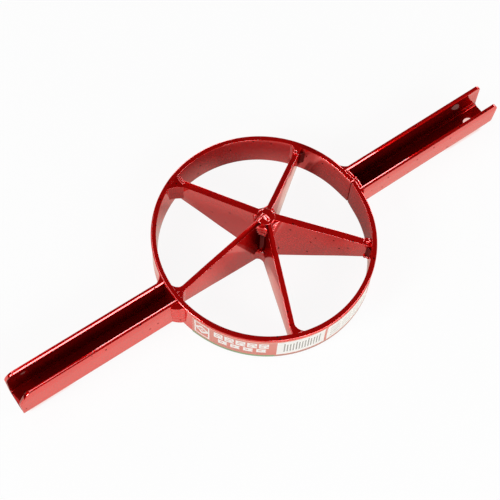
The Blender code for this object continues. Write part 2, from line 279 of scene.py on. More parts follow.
# Welds between blades and ring: legs along the blade and the ring, how hollow, and how far below the common
# height a cap ends that levels the blade's low end with the ring's upper edge
RIM_WELDS = {
    (1, "left"): ((0.0066, 0.0066), 0.55, 0.0008),
    (1, "right"): ((0.0054, 0.0054), 0.60, 0.0008),
    (2, "left"): ((0.0104, 0.0100), 0.30, 0.0),
    (2, "right"): ((0.0045, 0.0045), 0.50, None),
    (3, "left"): ((0.0046, 0.0046), 0.50, 0.0),
    (3, "right"): ((0.0052, 0.0050), 0.60, None),
    (4, "left"): ((0.0050, 0.0050), 0.50, None),
    (4, "right"): ((0.0036, 0.0030), 0.40, None),
    (5, "left"): ((0.0056, 0.0052), 0.50, 0.0),
}
RIM_GAP = 0.0001
RIM_TAPER = 0.35
RIM_WOBBLE = 0.06
RIM_LOW = BLADE_BOTTOM_AT_RIM - 0.0002
RIM_HIGH = BLADE_TOP_AT_RIM - 0.0010
RIM_CAP_TOP = 0.0301
RIM_CAP_OUT = 0.0010
RIM_CAP_IN = 0.0066
RIM_CAP_DEPTH = 0.0042

# Lumps in those welds, and beads that stand on them, as (inward from the ring, across, height, radii)
DOT = (0.0011, 0.0011, 0.0010)
SPATTER = (0.0013, 0.0012, 0.0012)
RIDGE_BALL = (0.0012, 0.0012, 0.0012)
RIDGE_BALLS = 8
RIDGE_SLANT = 0.0022 / (RIDGE_BALLS - 1)
RIM_LUMPS = {
    (1, "left"): ((0.0008, 0.0012, RIM_CAP_TOP - 0.0012, DOT),),
    (2, "left"): [(0.0016 + 0.0008 * step, RIDGE_SLANT * step - 0.0024, RIM_CAP_TOP - 0.0004, RIDGE_BALL)
                  for step in range(RIDGE_BALLS)],
    (3, "left"): ((0.0042, 0.0012, RIM_CAP_TOP - 0.0003, DOT), (0.0056, 0.0001, RIM_CAP_TOP - 0.0004, DOT)),
}
RIM_BEADS = {
    (4, "right"): (
        (0.0038, -0.0021, BLADE_TOP_AT_RIM + 0.0012, (0.0038, 0.0023, 0.0022)),
        (0.0030, 0.0026, BLADE_BOTTOM_AT_RIM + 0.0008, SPATTER),
        (0.0006, 0.0034, BLADE_BOTTOM_AT_RIM + 0.0010, SPATTER),
    ),
}

# Welds at the top of the core: reach along the blades and radius in the middle at the foot, what they gain up
# to the top, the runs of the rod, and how they start at the foot as (share, growth). They reach a little past
# the solids.
UPPER_FOOT = (0.0076, 0.0066)
UPPER_GAIN = (0.0030, 0.0016)
UPPER_RUN = 0.0007
UPPER_RUNS = 3.6
UPPER_RUN_DRIFT = 0.3
UPPER_START = (0.35, 6.0)
UPPER_START_POWER = 0.3
UPPER_BELOW = 0.0032
UPPER_ABOVE = 0.0005
UPPER_ROWS = 48
# Welds at the foot of the core: reach along the blades and radius in the middle, how far both waver, how they
# start, and what they lose over the top part
LOWER_SIZE = (0.0108, 0.0076)
LOWER_WAVER = (0.0006, 0.0005)
LOWER_ROWS = 30
LOWER_START = (0.80, 3.0)
LOWER_LOSS = 0.35
LOWER_TOP_PART = 0.2
LOWER_LUMP = (0.0022, 0.0022, 0.0016)
LOWER_LUMP_REACH = 0.0060
LOWER_LUMP_TURN = 10.0
LOWER_LUMP_DROP = 0.0010

# Upright welds at the handles' roots: handle, word, side (1 is counter-clockwise), legs along ring and wall,
# how hollow, how far they hang below the web, and the height of their ripples
ROOT_WELDS = (
    ("left", "near", 1, (0.0062, 0.0074), -0.30, 0.0012, 0.00040),
    ("left", "far", -1, (0.0066, 0.0066), 0.50, 0.0, 0.0),
    ("right", "near", -1, (0.0036, 0.0040), 0.25, 0.0, 0.0),
    ("right", "far", 1, (0.0062, 0.0062), 0.55, 0.0, 0.0),
)
ROOT_TAPER = 0.70
ROOT_WOBBLE = 0.12
ROOT_DROP = 0.0006
ROOT_BITE = 0.0003

# Bead along the ring's edge at the right handle
TOP_BEAD_COUNT = 13
TOP_BEAD = (0.0026, 0.0019, 0.0024)
TOP_BEAD_WAVER = (0.0008, 0.0, 0.0006)
TOP_BEAD_DROP = 0.0026
TOP_BEAD_OUT = 0.0006

# Lacquer: reds by its thickness as (level of the cloud, red, green), and scales of its patterns per metre
LACQUER_REDS = ((0.30, 0.80, 0.003), (0.55, 0.85, 0.003), (0.75, 0.90, 0.004))
LACQUER_BLUE = 0.002
LACQUER_GRAIN = ((0.32, 0.62), (0.80, 1.0))
LACQUER_METALLIC = 0.55
LACQUER_COAT = 0.70
LACQUER_ROUGHNESS = (0.09, 0.20)
LACQUER_TINT = (0.92, 0.05, 0.05, 1.0)
COAT_ROUGHNESS = 0.04
COAT_IOR = 2.3
CLOUD_SCALE = 38.0
GRAIN_SCALE = 900.0
ROUGH_SCALE = 260.0
PEEL_SCALE = 420.0
WAVE_SCALE = 60.0
WAVE_SHARE = 5.0
PEEL_STRENGTH = 0.14
PEEL_HEIGHT = 0.00006
PINHOLE_SCALE = 140.0
PINHOLE_SIZE = 0.095
PINHOLE_DEPTH = 3.0
PINHOLE_BLACK = (0.025, 0.006, 0.006, 1.0)
PATCH_SCALE = 24.0
PATCH_LEVEL = 0.44

# Channels, where painted shade darkens the lacquer inside, and what is left of that at the open end on
# (walls, web)
CHANNEL_SHADE_RED = (0.28, 0.003, 0.003, 1.0)
CHANNEL_SKIN = 0.0007
CHANNEL_AT_END = {"left": (0.9, 0.9), "right": (0.0, 0.62)}
CHANNEL_WALL_FOOT = (0.0095, 0.0125)
CHANNEL_END = (0.018, 0.008)
CHANNEL_TOP = (0.0016, 0.0011)
# Painted shade on the channels' webs and bends, where the coat is turned down so they mirror little: heights,
# half width and coat
WEB_SHADE_LOW = 0.0032
WEB_SHADE_SOFT = 0.0004
WEB_SHADE_HIGH = (0.0080, 0.0105)
WEB_SHADE_HALF = 0.0088
SHADE_COAT = 0.06
# Painted shade on the ring's inside wall, darker and with less coat: direction, half angles in radians, and
# share
WALL_SHADE_AZIMUTH = 29.0
WALL_SHADE_SPREAD = (0.05, 0.16)
WALL_SHADE_SHARE = 0.72
WALL_SHADE_DEPTH = 0.0010
WALL_SHADE_RED = (0.34, 0.003, 0.003, 1.0)
# Painted shade in the corner at the hub that faces the viewer, darker and with less coat: direction, slope of
# its lower edge, and soft limits
POCKET_AZIMUTH = -144.0
POCKET_SLOPE = 2.18
POCKET_COSINE = (0.82, 0.87)
POCKET_REACH = ((0.008, 0.020), (0.95, 0.55))
POCKET_EDGE = (-0.0120, -0.0098)
POCKET_SHADE_RED = (0.06, 0.001, 0.001, 1.0)
POCKET_COAT = 0.05
POCKET_COAT_AT = 0.6

SMOOTH_ANGLE = 38.0
CRISP_ANGLE = 20.0
WHOLLY_SMOOTH = 180.0


def shares(steps):
    """Shares from 0 to 1 in equal steps."""
    return [step / steps for step in range(steps + 1)]


def polar(radius, azimuth, height=0.0):
    """Point at a distance and direction from the ring's axis."""
    around = radians(azimuth)
    return Vector((radius * cos(around), radius * sin(around), height))


def upright_turn(azimuth):
    """Rotation about the vertical."""
    return Matrix.Rotation(radians(azimuth), 4, "Z")


def ring_radius(azimuth, depth=0.0):
    """Distance from the axis to the ring's outside, or to a surface this deep below it."""
    around = radians(azimuth)
    rolled = RING_RADIUS - RING_OUT_OF_ROUND * cos(2 * around) - depth
    from_seam = abs((azimuth - SEAM_AZIMUTH + 180.0) % 360.0 - 180.0)
    straight = SEAM_STRAIGHT_END / RING_RADIUS - radians(from_seam)
    return rolled / cos(max(0.0, straight))


def ring_bow(height):
    """How far the ring's outside lies below its mean radius at a height."""
    level = 2 * height / RING_HEIGHT - 1
    return RING_BOW * (0.5 - level * level)


def box_azimuth(node):
    """Direction of a solid that lies along a line from the axis."""
    low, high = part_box(node)
    middle = (low + high) / 2
    return degrees(atan2(middle.y, middle.x))


def blade_azimuth(number):
    """Direction of a blade."""
    return box_azimuth("blade_%d" % number)


def angle_aside(across):
    """Angle that a step sideways makes on the ring's outside."""
    return degrees(asin(across / RING_RADIUS))


class Tree:
    """Node tree of a new material, with a short method for each kind of node used here."""

    # Sockets of a Mix node that hold colours
    MIX_FIRST = 6
    MIX_SECOND = 7
    MIX_RESULT = 2

    def __init__(self, name):
        self.material = bpy.data.materials.new(name)
        self.material.use_nodes = True
        self.nodes = self.material.node_tree.nodes

    def put(self, value, socket):
        """Set a socket to a constant, or link it to another."""
        if isinstance(value, (int, float, tuple)):
            socket.default_value = value
        else:
            self.material.node_tree.links.new(value, socket)

    def fill(self, node, **inputs):
        """Set or link a node's inputs by name, where an underscore stands for a space."""
        for name, value in inputs.items():
            self.put(value, node.inputs[name.replace("_", " ")])
        return node

    def add(self, kind, **inputs):
        """New node with its inputs."""
        return self.fill(self.nodes.new("ShaderNode" + kind), **inputs)

    def surface(self, **inputs):
        """Finish the material's own shader."""
        self.fill(self.nodes["Principled BSDF"], **inputs)
        return self.material

    def place(self):
        """The object's own coordinates."""
        return self.add("TexCoord").outputs["Object"]

    def split(self, vector):
        """X, Y and Z of a vector."""
        return tuple(self.add("SeparateXYZ", Vector=vector).outputs)

    def length(self, vector):
        """Length of a vector."""
        step = self.add("VectorMath")
        step.operation = "LENGTH"
        self.put(vector, step.inputs[0])
        return step.outputs["Value"]

    def noise(self, vector, scale, detail=3.0, roughness=0.55):
        """Noise texture."""
        texture = self.add("TexNoise", Vector=vector, Scale=scale, Detail=detail, Roughness=roughness)
        return texture.outputs["Fac"]

    def ramp(self, value, stops):
        """Colour ramp with the given (position, colour) stops."""
        ramp = self.add("ValToRGB", Fac=value)
        elements = ramp.color_ramp.elements
        while len(elements) < len(stops):
            elements.new(0.5)
        for element, (position, colour) in zip(elements, stops):
            element.position = position
            element.color = colour
        return ramp.outputs["Color"]

    def calc(self, operation, first, second=0.0):
        """Math node on one or two values."""
        step = self.add("Math")
        step.operation = operation
        self.put(first, step.inputs[0])
        self.put(second, step.inputs[1])
        return step.outputs["Value"]

    def times(self, *factors):
        """Product of values."""
        total = factors[0]
        for factor in factors[1:]:
            total = self.calc("MULTIPLY", total, factor)
        return total

    def rest(self, value):
        """What a value leaves of one."""
        return self.calc("SUBTRACT", 1.0, value)

    def along(self, x, y, azimuth):
        """Distance from the axis along a direction in plan."""
        angle = radians(azimuth)
        return self.calc("ADD", self.times(x, cos(angle)), self.times(y, sin(angle)))

    def span(self, value, source, target, hold=True):
        """Map a value from one span to another, held within the second unless told otherwise."""
        (low, high), (start, end) = source, target
        step = self.add("MapRange", Value=value, From_Min=low, From_Max=high, To_Min=start, To_Max=end)
        step.clamp = hold
        return step.outputs["Result"]

    def mix(self, share, first, second, blend="MIX"):
        """Mix of two colours."""
        mix = self.add("Mix")
        mix.data_type = "RGBA"
        mix.blend_type = blend
        self.put(share, mix.inputs["Factor"])
        self.put(first, mix.inputs[self.MIX_FIRST])
        self.put(second, mix.inputs[self.MIX_SECOND])
        return mix.outputs[self.MIX_RESULT]


def channel_shade_mask(tree, place, side):
    """Share of painted shade at a point inside a handle's channel, fading out at its open end."""
    node = side + "_handle"
    low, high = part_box(node)
    reach = max(-low.x, high.x)
    turn = (0.0, 0.0, -radians(box_azimuth(node)))
    x, y, z = tree.split(tree.add("Mapping", Vector=place, Rotation=turn).outputs["Vector"])
    first, second = (wall[0] - HANDLE_SHEET + CHANNEL_SKIN for wall in HANDLE_WALLS[side])
    wall_share, web_share = CHANNEL_AT_END[side]
    at_end = tree.span(z, CHANNEL_WALL_FOOT, (web_share, wall_share))
    inward = tree.span(x, [reach - back for back in CHANNEL_END], (1.0, 0.0))
    return tree.times(
        tree.calc("LESS_THAN", y, first),
        tree.calc("GREATER_THAN", y, -second),
        tree.calc("GREATER_THAN", x, RING_REACH_X - HANDLE_ROOT_SINK),
        tree.span(z, [RING_HEIGHT - down for down in CHANNEL_TOP], (1.0, 0.0)),
        tree.span(z, (WEB_SHADE_LOW, WEB_SHADE_LOW + WEB_SHADE_SOFT), (0.0, 1.0)),
        tree.calc("MAXIMUM", inward, at_end),
    )


def web_shade_mask(tree, place):
    """Painted shade on the webs and bends of both channels, given by a lower coat."""
    x, y, z = tree.split(place)
    return tree.times(
        tree.calc("GREATER_THAN", z, WEB_SHADE_LOW),
        tree.calc("LESS_THAN", tree.calc("ABSOLUTE", y), WEB_SHADE_HALF),
        tree.span(z, WEB_SHADE_HIGH, (1.0, 0.0)),
        tree.calc("GREATER_THAN", tree.calc("ABSOLUTE", x), RING_REACH_X - 2 * HANDLE_ROOT_SINK),
    )


def wall_shade_mask(tree, place):
    """Painted shade on the ring's inside wall, between blade 3 and the right handle."""
    x, y, _ = tree.split(place)
    outward = tree.along(x, y, WALL_SHADE_AZIMUTH)
    aside = tree.calc("SUBTRACT", tree.calc("ARCTAN2", y, x), radians(WALL_SHADE_AZIMUTH))
    return tree.times(
        tree.calc("LESS_THAN", outward, RING_RADIUS - WALL_SHADE_DEPTH),
        tree.span(tree.calc("ABSOLUTE", aside), WALL_SHADE_SPREAD, (WALL_SHADE_SHARE, 0.0)),
    )


def pocket_shade_mask(tree, place):
    """Share of painted shade at a point deep in the corner at the hub that faces the viewer."""
    x, y, z = tree.split(place)
    distance = tree.length(tree.add("CombineXYZ", X=x, Y=y).outputs["Vector"])
    cosine = tree.calc("DIVIDE", tree.along(x, y, POCKET_AZIMUTH), distance)
    over = tree.calc("SUBTRACT", z, tree.times(distance, POCKET_SLOPE))
    return tree.times(
        tree.span(cosine, POCKET_COSINE, (0.0, 1.0)),
        tree.span(distance, *POCKET_REACH),
        tree.span(over, POCKET_EDGE, (0.0, 1.0)),
    )


def pinhole_mask(tree, place):
    """Pinholes in patches, where the lacquer did not wet the steel."""
    cells = tree.add("TexVoronoi", Vector=place, Scale=PINHOLE_SCALE)
    dots = tree.calc("LESS_THAN", cells.outputs["Distance"], PINHOLE_SIZE)
    patches = tree.calc("GREATER_THAN", tree.noise(place, PATCH_SCALE, 1.0), PATCH_LEVEL)
    return tree.times(dots, patches)


def clouded_red(tree, place, tone):
    """Red of the lacquer, brighter or darker in clouds, with a fine grain."""
    stops = [(level, (red * tone, green, LACQUER_BLUE, 1.0)) for level, red, green in LACQUER_REDS]
    red = tree.ramp(tree.noise(place, CLOUD_SCALE, 4.0), stops)
    grain = tree.span(tree.noise(place, GRAIN_SCALE, 2.0), *LACQUER_GRAIN)
    return tree.mix(1.0, red, grain, "MULTIPLY")


def lacquer_skin(tree, place, holes):
    """Normal of the lacquer: orange peel over a slow wave, with sunk pinholes."""
    wave = tree.times(tree.noise(place, WAVE_SCALE, 1.0, 0.3), WAVE_SHARE)
    skin = tree.calc("ADD", wave, tree.noise(place, PEEL_SCALE, 2.0, 0.4))
    skin = tree.calc("SUBTRACT", skin, tree.times(holes, PINHOLE_DEPTH))
    return tree.add("Bump", Strength=PEEL_STRENGTH, Distance=PEEL_HEIGHT, Height=skin).outputs["Normal"]


def make_paint(channels=(), coat=LACQUER_COAT, tone=1.0, pocket=False):
    """Clear red lacquer over steel: glossy, tinted in its depth, with orange peel and pinholes.

    Inside the channels of the named handles, away from their open ends, painted shade darkens the lacquer.
    With channels named, painted shade also lowers the coat on the channels' webs and bends, and darkens and
    dulls a place on the ring's inside wall. With pocket, the corner at the hub that faces the viewer gets
    painted shade, darker and with less coat.
    """
    tree = Tree("red_lacquer")
    place = tree.place()
    red = clouded_red(tree, place, tone)
    gloss = coat
    if pocket:
        # Painted shade: the hub's near corner gets a darker red and less coat
        pocket_shade = pocket_shade_mask(tree, place)
        red = tree.mix(pocket_shade, red, POCKET_SHADE_RED)
        gloss = tree.span(pocket_shade, (0.0, POCKET_COAT_AT), (coat, POCKET_COAT))
    # Painted shade: the insides of the channels are darkened toward a deep red
    for side in channels:
        red = tree.mix(channel_shade_mask(tree, place, side), red, CHANNEL_SHADE_RED)
    if channels:
        # Painted shade: a darker red on the ring's inside wall beside blade 3
        wall_shade = wall_shade_mask(tree, place)
        red = tree.mix(wall_shade, red, WALL_SHADE_RED)
        # Painted shade: a lower coat on the channels' webs and bends and on the shaded place of the ring's
        # wall
        shade_share = tree.calc("MAXIMUM", web_shade_mask(tree, place), wall_shade)
        gloss = tree.span(shade_share, (0.0, 1.0), (coat, SHADE_COAT))
    holes = pinhole_mask(tree, place)
    skin = lacquer_skin(tree, place, holes)
    return tree.surface(
        Base_Color=tree.mix(holes, red, PINHOLE_BLACK),
        Metallic=LACQUER_METALLIC,
        Roughness=tree.span(tree.noise(place, ROUGH_SCALE), (0.0, 1.0), LACQUER_ROUGHNESS),
        Normal=skin,
        Specular_IOR_Level=0.0,
        Specular_Tint=LACQUER_TINT,
        Coat_Weight=tree.times(tree.rest(holes), gloss),
        Coat_Roughness=COAT_ROUGHNESS,
        Coat_IOR=COAT_IOR,
        Coat_Normal=skin,
    )


def make_label_print():
    """Glossy paper with a made-up print: a framed diamond, bars, a row of ticks and ruled lines."""
    tree = Tree("label_print")
    place = tree.place()
    x, y, z = tree.split(place)
    ends = (radians(LABEL_START), radians(LABEL_END))
    across = tree.span(tree.calc("ARCTAN2", y, x), ends, (0.0, PRINT_WIDTH), hold=False)
    up = tree.span(z, (LABEL_BASE, LABEL_BASE + LABEL_HEIGHT), (0.0, PRINT_HEIGHT), hold=False)

    def between(value, low, high):
        return tree.times(tree.calc("GREATER_THAN", value, low), tree.calc("LESS_THAN", value, high))

    def stripes(step, share, start):
        moved = tree.calc("SUBTRACT", across, start)
        return tree.calc("LESS_THAN", tree.calc("FRACT", tree.calc("DIVIDE", moved, step)), share)

    cloud = tree.noise(place, LABEL_CLOUD_SCALE)
    colour = tree.mix(tree.span(cloud, *LABEL_FADE), SALMON, PALE_SALMON)
    for ink, left, right, low, high, *blocks in PRINT_PANELS:
        mask = tree.times(between(across, left, right), between(up, low, high))
        if blocks:
            mask = tree.times(mask, stripes(*blocks))
        colour = tree.mix(mask, colour, ink)
    sideways = tree.calc("ABSOLUTE", tree.calc("SUBTRACT", across, DIAMOND_ACROSS))
    upward = tree.calc("ABSOLUTE", tree.calc("SUBTRACT", up, DIAMOND_UP))
    for ink, size in PRINT_DIAMONDS:
        mask = tree.calc("LESS_THAN", tree.calc("ADD", sideways, upward), size)
        colour = tree.mix(mask, colour, ink)
    return tree.surface(
        Base_Color=colour,
        Roughness=tree.span(cloud, (0.0, 1.0), LABEL_ROUGHNESS),
        Coat_Weight=LABEL_COAT,
        Coat_Roughness=LABEL_COAT_ROUGHNESS,
        Coat_IOR=COAT_IOR,
    )


PAINT = make_paint()
# The blades' lacquer, with painted shade in the hub's near corner
BLADE_PAINT = make_paint(pocket=True)
# A dark, dull copy of the lacquer as painted shade, for the core and for rim welds that lie in shade
SHADE_PAINT = make_paint(coat=0.10, tone=0.18)
# A darker, less glossy copy of the lacquer as painted shade, for the hollow weld on blade 2's left
SHADED_WELD_PAINT = make_paint(coat=0.42, tone=0.75)
BEAD_PAINT = make_paint(coat=0.85)
PRINT = make_label_print()
# Rim welds that wear the copies of the lacquer darkened as painted shade
RIM_PAINTS = {(2, "left"): SHADED_WELD_PAINT, (3, "right"): SHADE_PAINT, (4, "right"): SHADE_PAINT}


def finish_piece(piece, node, material, angle=SMOOTH_ANGLE):
    """Give a mesh object its material and smooth shading, and tie it to the frame."""
    mesh = piece.data
    mesh.materials.clear()
    mesh.materials.append(material)
    mesh.shade_smooth()
    mesh.set_sharp_from_angle(angle=radians(angle))
    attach(piece, "root")
    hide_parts(node)


def mesh_object(name, shape):
    """Turn a bmesh into a linked object with its faces pointing out."""
    bmesh.ops.recalc_face_normals(shape, faces=shape.faces)
    mesh = bpy.data.meshes.new(name)
    shape.to_mesh(mesh)
    shape.free()
    piece = bpy.data.objects.new(name, mesh)
    bpy.context.scene.collection.objects.link(piece)
    return piece


def settle(piece):
    """Apply all modifiers of an object to its mesh."""
    view = bpy.context.evaluated_depsgraph_get()
    view.update()
    made = bpy.data.meshes.new_from_object(piece.evaluated_get(view))
    piece.modifiers.clear()
    piece.data = made


def loft(shape, sections, caps=True):
    """Skin a list of equal-length point loops into a bmesh, and close both ends."""
    loops = [[shape.verts.new(point) for point in section] for section in sections]
    for first, second in zip(loops, loops[1:]):
        for index in range(len(first)):
            after = (index + 1) % len(first)
            shape.faces.new((first[index], first[after], second[after], second[index]))
    if caps:
        shape.faces.new(list(reversed(loops[0])))
        shape.faces.new(loops[-1])
    return loops


def lofted(name, sections):
    """Object that is one closed loft."""
    shape = bmesh.new()
    loft(shape, sections)
    return mesh_object(name, shape)


def lathe(profile, sides):
    """Loops of points that carry (radius, height) pairs round the vertical."""
    turns = [360.0 * side / sides for side in range(sides)]
    return [[polar(radius, turn, height) for turn in turns] for radius, height in profile]


def rounded(corners, steps, spacing=None):
    """Closed outline through (x, y, radius) corners, each turned into an arc, with points along its sides."""
    outline = []
    count = len(corners)
    for index, (x, y, radius) in enumerate(corners):
        here = Vector((x, y))
        before = Vector(corners[index - 1][:2])
        after = Vector(corners[(index + 1) % count][:2])
        arrive = (before - here).normalized()
        leave = (after - here).normalized()
        half = arrive.angle(leave) / 2
        reach = radius / tan(half)
        start = here + arrive * reach
        end = here + leave * reach
        centre = here + (arrive + leave).normalized() * (radius / sin(half))
        for step in range(steps + 1):
            spoke = start.lerp(end, step / steps) - centre
            outline.append(centre + spoke.normalized() * radius)
    if spacing is None:
        return outline
    filled = []
    for point, following in zip(outline, outline[1:] + outline[:1]):
        parts = max(1, round((following - point).length / spacing))
        filled += [point.lerp(following, part / parts) for part in range(parts)]
    return filled


def make_ring():
    """Rolled bar with soft edges, slightly bowed across its width, open at the seam."""
    profile = rounded((
        (0.0, 0.0, RING_OUTER_ROUND), (0.0, RING_HEIGHT, RING_OUTER_ROUND),
        (RING_WALL, RING_HEIGHT, RING_INNER_ROUND), (RING_WALL, 0.0, RING_INNER_ROUND),
    ), RING_ARC_STEPS, RING_SPACING)
    middle = Vector((RING_WALL / 2, RING_HEIGHT / 2))
    half_gap = degrees(SEAM_GAP / 2 / RING_RADIUS)
    first = SEAM_AZIMUTH + half_gap
    sweep = 360.0 - 2 * half_gap
    end_round = degrees(SEAM_END_ROUND / RING_RADIUS)
    stations = [(first, SEAM_END_ROUND)]
    for share in shares(RING_STEPS):
        stations.append((first + end_round + (sweep - 2 * end_round) * share, 0.0))
    stations.append((first + sweep, SEAM_END_ROUND))
    sections = []
    for azimuth, inset in stations:
        section = []
        for point in profile:
            moved = point + (middle - point).normalized() * inset
            section.append(polar(ring_radius(azimuth, moved.x + ring_bow(point.y)), azimuth, moved.y))
        sections.append(section)
    finish_piece(lofted("ring_bar", sections), "ring", make_paint(("left", "right")))


def make_blade(number):
    """Wedge plate whose ends are sunk in the core and in the ring's wall."""
    node = "blade_%d" % number
    azimuth = blade_azimuth(number)
    reach = ring_radius(azimuth, RING_WALL)
    inner = CORE_RADIUS - BLADE_SINK
    outer = reach + BLADE_SINK
    turn = upright_turn(azimuth)
    before, after = BLADE_EXTRA.get(number, (0.0, 0.0))
    left = BLADE_THICKNESS / 2 + before
    right = -BLADE_THICKNESS / 2 - after
    edges = ((BLADE_BOTTOM_ON_AXIS, BLADE_BOTTOM_AT_RIM), (BLADE_TOP_ON_AXIS, BLADE_TOP_AT_RIM))
    sections = []
    for share in shares(BLADE_STEPS):
        along = inner + (outer - inner) * share
        low, high = (on_axis + (at_rim - on_axis) * along / reach for on_axis, at_rim in edges)
        corners = ((right, low), (left, low), (left, high), (right, high))
        corners = [(across, height, BLADE_EDGE_ROUND) for across, height in corners]
        profile = rounded(corners, BLADE_ARC_STEPS)
        sway = BLADE_SWAY * noise.noise(Vector((along * BLADE_SWAY_RATE, number * BLADE_SWAY_SEED, 0.0)))
        sections.append([turn @ Vector((along, point.x + sway, point.y)) for point in profile])
    finish_piece(lofted(node + "_plate", sections), node, BLADE_PAINT)


def make_core():
    """Round bar on the axis, with broken ends."""
    low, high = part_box("hub_core")
    ends = ((CORE_BREAK, 0.0), (CORE_BREAK / 4, CORE_BREAK / 4), (0.0, CORE_BREAK))
    profile = [(CORE_RADIUS - inset, low.z + rise) for inset, rise in ends]
    profile += [(CORE_RADIUS - inset, high.z - rise) for inset, rise in reversed(ends)]
    # The core wears painted shade: the dark, dull copy of the lacquer
    finish_piece(lofted("hub_core_bar", lathe(profile, CORE_SIDES)), "hub_core", SHADE_PAINT)


def wall_place(wall, height):
    """Distance of a wall's outside from the handle's middle plane: tilted, and leaning in near the top."""
    half, tilt = wall[:2]
    down = RING_HEIGHT - height
    faded = min(max(down - HANDLE_LEAN_STRAIGHT, 0.0), HANDLE_LEAN_FADE)
    whole = HANDLE_LEAN_STRAIGHT + HANDLE_LEAN_FADE / 2
    lean = whole - min(down, HANDLE_LEAN_STRAIGHT) - faded + faded ** 2 / (2 * HANDLE_LEAN_FADE)
    return half + (HANDLE_DEPTH - down) * tan(radians(tilt)) - HANDLE_LEAN_SLOPE * lean


def channel_wall(wall):
    """Matching outside and inside points of one wall, from its middle top down to the middle of the web."""
    half = wall[0]
    bevel_across, bevel_down = wall[2]
    top = RING_HEIGHT
    inside = half - HANDLE_SHEET
    ridge = inside + bevel_across
    crest = (half + ridge) / 2
    soft = SOFT_SHARE * HANDLE_OUTER_ROUND
    edge = top - SOFT_SHARE * HANDLE_EDGE_ROUND
    pairs = [
        ((crest, top), (crest - CREST_GAP, top)),
        ((half - HANDLE_OUTER_ROUND, top), (ridge + HANDLE_EDGE_ROUND, top)),
        ((half - soft, top - soft), (ridge, edge)),
    ]
    for share in shares(BEVEL_STEPS)[1:-1]:
        outer = (half, top - HANDLE_EDGE_ROUND - bevel_down * share)
        pairs.append((outer, (ridge - bevel_across * share, edge - bevel_down * share)))
    upper = top - bevel_down - HANDLE_EDGE_ROUND
    straight = upper - HANDLE_BOTTOM - HANDLE_BEND_RADIUS
    for share in shares(WALL_STEPS):
        height = upper - straight * share ** WALL_CROWDING
        pairs.append(((half, height), (inside, height)))
    centre = Vector((half - HANDLE_BEND_RADIUS, HANDLE_BOTTOM + HANDLE_BEND_RADIUS))
    for share in shares(BEND_STEPS)[1:]:
        angle = radians(90.0 * share)
        spoke = Vector((cos(angle), -sin(angle)))
        bend = (HANDLE_BEND_RADIUS, HANDLE_BEND_RADIUS - HANDLE_SHEET)
        pairs.append(tuple(tuple(centre + spoke * radius) for radius in bend))
    for share in shares(WEB_STEPS)[1:]:
        across = (half - HANDLE_BEND_RADIUS) * (1 - share)
        pairs.append(((across, HANDLE_BOTTOM), (across, HANDLE_BOTTOM + HANDLE_SHEET)))

    def stand(y, z):
        share = min(1.0, max(0.0, (z - HANDLE_BOTTOM - HANDLE_SHEET) / HANDLE_BEND_RADIUS))
        return y + (wall_place(wall, z) - half) * share, z

    return [tuple(stand(y, z) for y, z in pair) for pair in pairs]


def make_drill(name, middle, turn):
    """Body of a hanging hole with a soft rim on both faces of the web."""
    top = HANDLE_BOTTOM + HANDLE_SHEET
    profile = [(HOLE_RADIUS + out * HOLE_SOFT, HANDLE_BOTTOM + deep * HOLE_SOFT) for out, deep in HOLE_RIM]
    profile += [(HOLE_RADIUS + out * HOLE_SOFT, top - deep * HOLE_SOFT) for out, deep in reversed(HOLE_RIM)]
    rings = lathe(profile, HOLE_SIDES)
    return lofted(name, [[turn @ (point + middle) for point in ring] for ring in rings])


